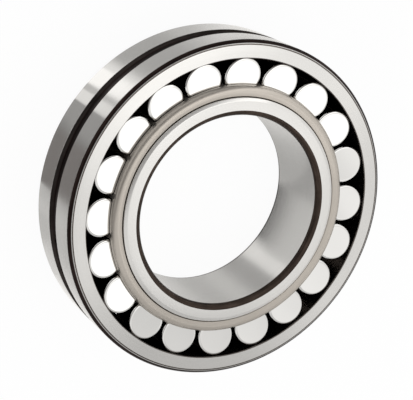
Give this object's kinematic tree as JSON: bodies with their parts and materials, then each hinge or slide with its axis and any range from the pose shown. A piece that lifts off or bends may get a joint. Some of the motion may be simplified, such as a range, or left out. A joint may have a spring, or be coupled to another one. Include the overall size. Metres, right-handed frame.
{
  "type": "spherical roller bearing",
  "caption": "Self-aligning rolling bearing: two rows of barrel rollers in pressed cages run between a bored inner ring and an outer ring with a spherical raceway and an oil groove.",
  "frame": {"origin": "centre of the bearing: on the bore axis, midway between the two side faces", "axes": "+Z along the bore axis, towards the front side face, which is the side in the picture; +X through the middle of the first front roller"},
  "size_m": [0.15, 0.15, 0.036],
  "materials": {
    "ring_steel": "ground and honed, satin with fine circular lines",
    "roller_steel": "superfinished, near mirror, with ground ends",
    "cage_steel": "pressed sheet, warm grey phosphate, satin",
    "guide_steel": "turned and honed, satin"
  },
  "bodies": {
    "outer_ring": {"outer_ring": "ring_steel"},
    "guide_ring": {"guide_ring": "guide_steel"},
    "inner_ring": {"inner_ring": "ring_steel"},
    "cage_front": {"cage_front": "cage_steel"},
    "cage_rear": {"cage_rear": "cage_steel"},
    "roller_front_01": {"roller_front_01": "roller_steel"},
    "roller_front_02": {"roller_front_02": "roller_steel"},
    "roller_front_03": {"roller_front_03": "roller_steel"},
    "roller_front_04": {"roller_front_04": "roller_steel"},
    "roller_front_05": {"roller_front_05": "roller_steel"},
    "roller_front_06": {"roller_front_06": "roller_steel"},
    "roller_front_07": {"roller_front_07": "roller_steel"},
    "roller_front_08": {"roller_front_08": "roller_steel"},
    "roller_front_09": {"roller_front_09": "roller_steel"},
    "roller_front_10": {"roller_front_10": "roller_steel"},
    "roller_front_11": {"roller_front_11": "roller_steel"},
    "roller_front_12": {"roller_front_12": "roller_steel"},
    "roller_front_13": {"roller_front_13": "roller_steel"},
    "roller_front_14": {"roller_front_14": "roller_steel"},
    "roller_front_15": {"roller_front_15": "roller_steel"},
    "roller_front_16": {"roller_front_16": "roller_steel"},
    "roller_front_17": {"roller_front_17": "roller_steel"},
    "roller_front_18": {"roller_front_18": "roller_steel"},
    "roller_front_19": {"roller_front_19": "roller_steel"},
    "roller_front_20": {"roller_front_20": "roller_steel"},
    "roller_rear_01": {"roller_rear_01": "roller_steel"},
    "roller_rear_02": {"roller_rear_02": "roller_steel"},
    "roller_rear_03": {"roller_rear_03": "roller_steel"},
    "roller_rear_04": {"roller_rear_04": "roller_steel"},
    "roller_rear_05": {"roller_rear_05": "roller_steel"},
    "roller_rear_06": {"roller_rear_06": "roller_steel"},
    "roller_rear_07": {"roller_rear_07": "roller_steel"},
    "roller_rear_08": {"roller_rear_08": "roller_steel"},
    "roller_rear_09": {"roller_rear_09": "roller_steel"},
    "roller_rear_10": {"roller_rear_10": "roller_steel"},
    "roller_rear_11": {"roller_rear_11": "roller_steel"},
    "roller_rear_12": {"roller_rear_12": "roller_steel"},
    "roller_rear_13": {"roller_rear_13": "roller_steel"},
    "roller_rear_14": {"roller_rear_14": "roller_steel"},
    "roller_rear_15": {"roller_rear_15": "roller_steel"},
    "roller_rear_16": {"roller_rear_16": "roller_steel"},
    "roller_rear_17": {"roller_rear_17": "roller_steel"},
    "roller_rear_18": {"roller_rear_18": "roller_steel"},
    "roller_rear_19": {"roller_rear_19": "roller_steel"},
    "roller_rear_20": {"roller_rear_20": "roller_steel"}
  },
  "joints": [
    {"name": "inner_tilt", "type": "hinge", "parent": "outer_ring", "child": "guide_ring", "pos_m": [0, 0, 0], "axis": [1, 0, 0], "range_deg": [-2, 2]},
    {"name": "inner_spin", "type": "hinge", "parent": "guide_ring", "child": "inner_ring", "pos_m": [0, 0, 0], "axis": [0, 0, 1], "continuous": true},
    {"name": "cage_front_spin", "type": "hinge", "parent": "guide_ring", "child": "cage_front", "pos_m": [0, 0, 0], "axis": [0, 0, 1], "continuous": true},
    {"name": "cage_rear_spin", "type": "hinge", "parent": "guide_ring", "child": "cage_rear", "pos_m": [0, 0, 0], "axis": [0, 0, 1], "continuous": true},
    {"name": "roller_front_01_roll", "type": "hinge", "parent": "cage_front", "child": "roller_front_01", "pos_m": [0.05984, 0, 0.00924], "axis": [-0.1525, 0, 0.9883], "continuous": true},
    {"name": "roller_front_02_roll", "type": "hinge", "parent": "cage_front", "child": "roller_front_02", "pos_m": [0.05691, 0.01849, 0.00924], "axis": [-0.1451, -0.0471, 0.9883], "continuous": true},
    {"name": "roller_front_03_roll", "type": "hinge", "parent": "cage_front", "child": "roller_front_03", "pos_m": [0.04841, 0.03517, 0.00924], "axis": [-0.1234, -0.0896, 0.9883], "continuous": true},
    {"name": "roller_front_04_roll", "type": "hinge", "parent": "cage_front", "child": "roller_front_04", "pos_m": [0.03517, 0.04841, 0.00924], "axis": [-0.0896, -0.1234, 0.9883], "continuous": true},
    {"name": "roller_front_05_roll", "type": "hinge", "parent": "cage_front", "child": "roller_front_05", "pos_m": [0.01849, 0.05691, 0.00924], "axis": [-0.0471, -0.1451, 0.9883], "continuous": true},
    {"name": "roller_front_06_roll", "type": "hinge", "parent": "cage_front", "child": "roller_front_06", "pos_m": [0, 0.05984, 0.00924], "axis": [0, -0.1525, 0.9883], "continuous": true},
    {"name": "roller_front_07_roll", "type": "hinge", "parent": "cage_front", "child": "roller_front_07", "pos_m": [-0.01849, 0.05691, 0.00924], "axis": [0.0471, -0.1451, 0.9883], "continuous": true},
    {"name": "roller_front_08_roll", "type": "hinge", "parent": "cage_front", "child": "roller_front_08", "pos_m": [-0.03517, 0.04841, 0.00924], "axis": [0.0896, -0.1234, 0.9883], "continuous": true},
    {"name": "roller_front_09_roll", "type": "hinge", "parent": "cage_front", "child": "roller_front_09", "pos_m": [-0.04841, 0.03517, 0.00924], "axis": [0.1234, -0.0896, 0.9883], "continuous": true},
    {"name": "roller_front_10_roll", "type": "hinge", "parent": "cage_front", "child": "roller_front_10", "pos_m": [-0.05691, 0.01849, 0.00924], "axis": [0.1451, -0.0471, 0.9883], "continuous": true},
    {"name": "roller_front_11_roll", "type": "hinge", "parent": "cage_front", "child": "roller_front_11", "pos_m": [-0.05984, 0, 0.00924], "axis": [0.1525, 0, 0.9883], "continuous": true},
    {"name": "roller_front_12_roll", "type": "hinge", "parent": "cage_front", "child": "roller_front_12", "pos_m": [-0.05691, -0.01849, 0.00924], "axis": [0.1451, 0.0471, 0.9883], "continuous": true},
    {"name": "roller_front_13_roll", "type": "hinge", "parent": "cage_front", "child": "roller_front_13", "pos_m": [-0.04841, -0.03517, 0.00924], "axis": [0.1234, 0.0896, 0.9883], "continuous": true},
    {"name": "roller_front_14_roll", "type": "hinge", "parent": "cage_front", "child": "roller_front_14", "pos_m": [-0.03517, -0.04841, 0.00924], "axis": [0.0896, 0.1234, 0.9883], "continuous": true},
    {"name": "roller_front_15_roll", "type": "hinge", "parent": "cage_front", "child": "roller_front_15", "pos_m": [-0.01849, -0.05691, 0.00924], "axis": [0.0471, 0.1451, 0.9883], "continuous": true},
    {"name": "roller_front_16_roll", "type": "hinge", "parent": "cage_front", "child": "roller_front_16", "pos_m": [0, -0.05984, 0.00924], "axis": [0, 0.1525, 0.9883], "continuous": true},
    {"name": "roller_front_17_roll", "type": "hinge", "parent": "cage_front", "child": "roller_front_17", "pos_m": [0.01849, -0.05691, 0.00924], "axis": [-0.0471, 0.1451, 0.9883], "continuous": true},
    {"name": "roller_front_18_roll", "type": "hinge", "parent": "cage_front", "child": "roller_front_18", "pos_m": [0.03517, -0.04841, 0.00924], "axis": [-0.0896, 0.1234, 0.9883], "continuous": true},
    {"name": "roller_front_19_roll", "type": "hinge", "parent": "cage_front", "child": "roller_front_19", "pos_m": [0.04841, -0.03517, 0.00924], "axis": [-0.1234, 0.0896, 0.9883], "continuous": true},
    {"name": "roller_front_20_roll", "type": "hinge", "parent": "cage_front", "child": "roller_front_20", "pos_m": [0.05691, -0.01849, 0.00924], "axis": [-0.1451, 0.0471, 0.9883], "continuous": true},
    {"name": "roller_rear_01_roll", "type": "hinge", "parent": "cage_rear", "child": "roller_rear_01", "pos_m": [0.0591, -0.00936, -0.00924], "axis": [0.1506, -0.0239, 0.9883], "continuous": true},
    {"name": "roller_rear_02_roll", "type": "hinge", "parent": "cage_rear", "child": "roller_rear_02", "pos_m": [0.05332, -0.02717, -0.00924], "axis": [0.1359, -0.0692, 0.9883], "continuous": true},
    {"name": "roller_rear_03_roll", "type": "hinge", "parent": "cage_rear", "child": "roller_rear_03", "pos_m": [0.04231, -0.04231, -0.00924], "axis": [0.1078, -0.1078, 0.9883], "continuous": true},
    {"name": "roller_rear_04_roll", "type": "hinge", "parent": "cage_rear", "child": "roller_rear_04", "pos_m": [0.02717, -0.05332, -0.00924], "axis": [0.0692, -0.1359, 0.9883], "continuous": true},
    {"name": "roller_rear_05_roll", "type": "hinge", "parent": "cage_rear", "child": "roller_rear_05", "pos_m": [0.00936, -0.0591, -0.00924], "axis": [0.0239, -0.1506, 0.9883], "continuous": true},
    {"name": "roller_rear_06_roll", "type": "hinge", "parent": "cage_rear", "child": "roller_rear_06", "pos_m": [-0.00936, -0.0591, -0.00924], "axis": [-0.0239, -0.1506, 0.9883], "continuous": true},
    {"name": "roller_rear_07_roll", "type": "hinge", "parent": "cage_rear", "child": "roller_rear_07", "pos_m": [-0.02717, -0.05332, -0.00924], "axis": [-0.0692, -0.1359, 0.9883], "continuous": true},
    {"name": "roller_rear_08_roll", "type": "hinge", "parent": "cage_rear", "child": "roller_rear_08", "pos_m": [-0.04231, -0.04231, -0.00924], "axis": [-0.1078, -0.1078, 0.9883], "continuous": true},
    {"name": "roller_rear_09_roll", "type": "hinge", "parent": "cage_rear", "child": "roller_rear_09", "pos_m": [-0.05332, -0.02717, -0.00924], "axis": [-0.1359, -0.0692, 0.9883], "continuous": true},
    {"name": "roller_rear_10_roll", "type": "hinge", "parent": "cage_rear", "child": "roller_rear_10", "pos_m": [-0.0591, -0.00936, -0.00924], "axis": [-0.1506, -0.0239, 0.9883], "continuous": true},
    {"name": "roller_rear_11_roll", "type": "hinge", "parent": "cage_rear", "child": "roller_rear_11", "pos_m": [-0.0591, 0.00936, -0.00924], "axis": [-0.1506, 0.0239, 0.9883], "continuous": true},
    {"name": "roller_rear_12_roll", "type": "hinge", "parent": "cage_rear", "child": "roller_rear_12", "pos_m": [-0.05332, 0.02717, -0.00924], "axis": [-0.1359, 0.0692, 0.9883], "continuous": true},
    {"name": "roller_rear_13_roll", "type": "hinge", "parent": "cage_rear", "child": "roller_rear_13", "pos_m": [-0.04231, 0.04231, -0.00924], "axis": [-0.1078, 0.1078, 0.9883], "continuous": true},
    {"name": "roller_rear_14_roll", "type": "hinge", "parent": "cage_rear", "child": "roller_rear_14", "pos_m": [-0.02717, 0.05332, -0.00924], "axis": [-0.0692, 0.1359, 0.9883], "continuous": true},
    {"name": "roller_rear_15_roll", "type": "hinge", "parent": "cage_rear", "child": "roller_rear_15", "pos_m": [-0.00936, 0.0591, -0.00924], "axis": [-0.0239, 0.1506, 0.9883], "continuous": true},
    {"name": "roller_rear_16_roll", "type": "hinge", "parent": "cage_rear", "child": "roller_rear_16", "pos_m": [0.00936, 0.0591, -0.00924], "axis": [0.0239, 0.1506, 0.9883], "continuous": true},
    {"name": "roller_rear_17_roll", "type": "hinge", "parent": "cage_rear", "child": "roller_rear_17", "pos_m": [0.02717, 0.05332, -0.00924], "axis": [0.0692, 0.1359, 0.9883], "continuous": true},
    {"name": "roller_rear_18_roll", "type": "hinge", "parent": "cage_rear", "child": "roller_rear_18", "pos_m": [0.04231, 0.04231, -0.00924], "axis": [0.1078, 0.1078, 0.9883], "continuous": true},
    {"name": "roller_rear_19_roll", "type": "hinge", "parent": "cage_rear", "child": "roller_rear_19", "pos_m": [0.05332, 0.02717, -0.00924], "axis": [0.1359, 0.0692, 0.9883], "continuous": true},
    {"name": "roller_rear_20_roll", "type": "hinge", "parent": "cage_rear", "child": "roller_rear_20", "pos_m": [0.0591, 0.00936, -0.00924], "axis": [0.1506, 0.0239, 0.9883], "continuous": true}
  ],
  "couplings": [
    {"joint": "cage_front_spin", "follows": "inner_spin", "ratio": 0.42816},
    {"joint": "cage_rear_spin", "follows": "inner_spin", "ratio": 0.42816},
    {"joint": "roller_front_01_roll", "follows": "inner_spin", "ratio": -3.3682},
    {"joint": "roller_front_02_roll", "follows": "inner_spin", "ratio": -3.3682},
    {"joint": "roller_front_03_roll", "follows": "inner_spin", "ratio": -3.3682},
    {"joint": "roller_front_04_roll", "follows": "inner_spin", "ratio": -3.3682},
    {"joint": "roller_front_05_roll", "follows": "inner_spin", "ratio": -3.3682},
    {"joint": "roller_front_06_roll", "follows": "inner_spin", "ratio": -3.3682},
    {"joint": "roller_front_07_roll", "follows": "inner_spin", "ratio": -3.3682},
    {"joint": "roller_front_08_roll", "follows": "inner_spin", "ratio": -3.3682},
    {"joint": "roller_front_09_roll", "follows": "inner_spin", "ratio": -3.3682},
    {"joint": "roller_front_10_roll", "follows": "inner_spin", "ratio": -3.3682},
    {"joint": "roller_front_11_roll", "follows": "inner_spin", "ratio": -3.3682},
    {"joint": "roller_front_12_roll", "follows": "inner_spin", "ratio": -3.3682},
    {"joint": "roller_front_13_roll", "follows": "inner_spin", "ratio": -3.3682},
    {"joint": "roller_front_14_roll", "follows": "inner_spin", "ratio": -3.3682},
    {"joint": "roller_front_15_roll", "follows": "inner_spin", "ratio": -3.3682},
    {"joint": "roller_front_16_roll", "follows": "inner_spin", "ratio": -3.3682},
    {"joint": "roller_front_17_roll", "follows": "inner_spin", "ratio": -3.3682},
    {"joint": "roller_front_18_roll", "follows": "inner_spin", "ratio": -3.3682},
    {"joint": "roller_front_19_roll", "follows": "inner_spin", "ratio": -3.3682},
    {"joint": "roller_front_20_roll", "follows": "inner_spin", "ratio": -3.3682},
    {"joint": "roller_rear_01_roll", "follows": "inner_spin", "ratio": -3.3682},
    {"joint": "roller_rear_02_roll", "follows": "inner_spin", "ratio": -3.3682},
    {"joint": "roller_rear_03_roll", "follows": "inner_spin", "ratio": -3.3682},
    {"joint": "roller_rear_04_roll", "follows": "inner_spin", "ratio": -3.3682},
    {"joint": "roller_rear_05_roll", "follows": "inner_spin", "ratio": -3.3682},
    {"joint": "roller_rear_06_roll", "follows": "inner_spin", "ratio": -3.3682},
    {"joint": "roller_rear_07_roll", "follows": "inner_spin", "ratio": -3.3682},
    {"joint": "roller_rear_08_roll", "follows": "inner_spin", "ratio": -3.3682},
    {"joint": "roller_rear_09_roll", "follows": "inner_spin", "ratio": -3.3682},
    {"joint": "roller_rear_10_roll", "follows": "inner_spin", "ratio": -3.3682},
    {"joint": "roller_rear_11_roll", "follows": "inner_spin", "ratio": -3.3682},
    {"joint": "roller_rear_12_roll", "follows": "inner_spin", "ratio": -3.3682},
    {"joint": "roller_rear_13_roll", "follows": "inner_spin", "ratio": -3.3682},
    {"joint": "roller_rear_14_roll", "follows": "inner_spin", "ratio": -3.3682},
    {"joint": "roller_rear_15_roll", "follows": "inner_spin", "ratio": -3.3682},
    {"joint": "roller_rear_16_roll", "follows": "inner_spin", "ratio": -3.3682},
    {"joint": "roller_rear_17_roll", "follows": "inner_spin", "ratio": -3.3682},
    {"joint": "roller_rear_18_roll", "follows": "inner_spin", "ratio": -3.3682},
    {"joint": "roller_rear_19_roll", "follows": "inner_spin", "ratio": -3.3682},
    {"joint": "roller_rear_20_roll", "follows": "inner_spin", "ratio": -3.3682}
  ]
}
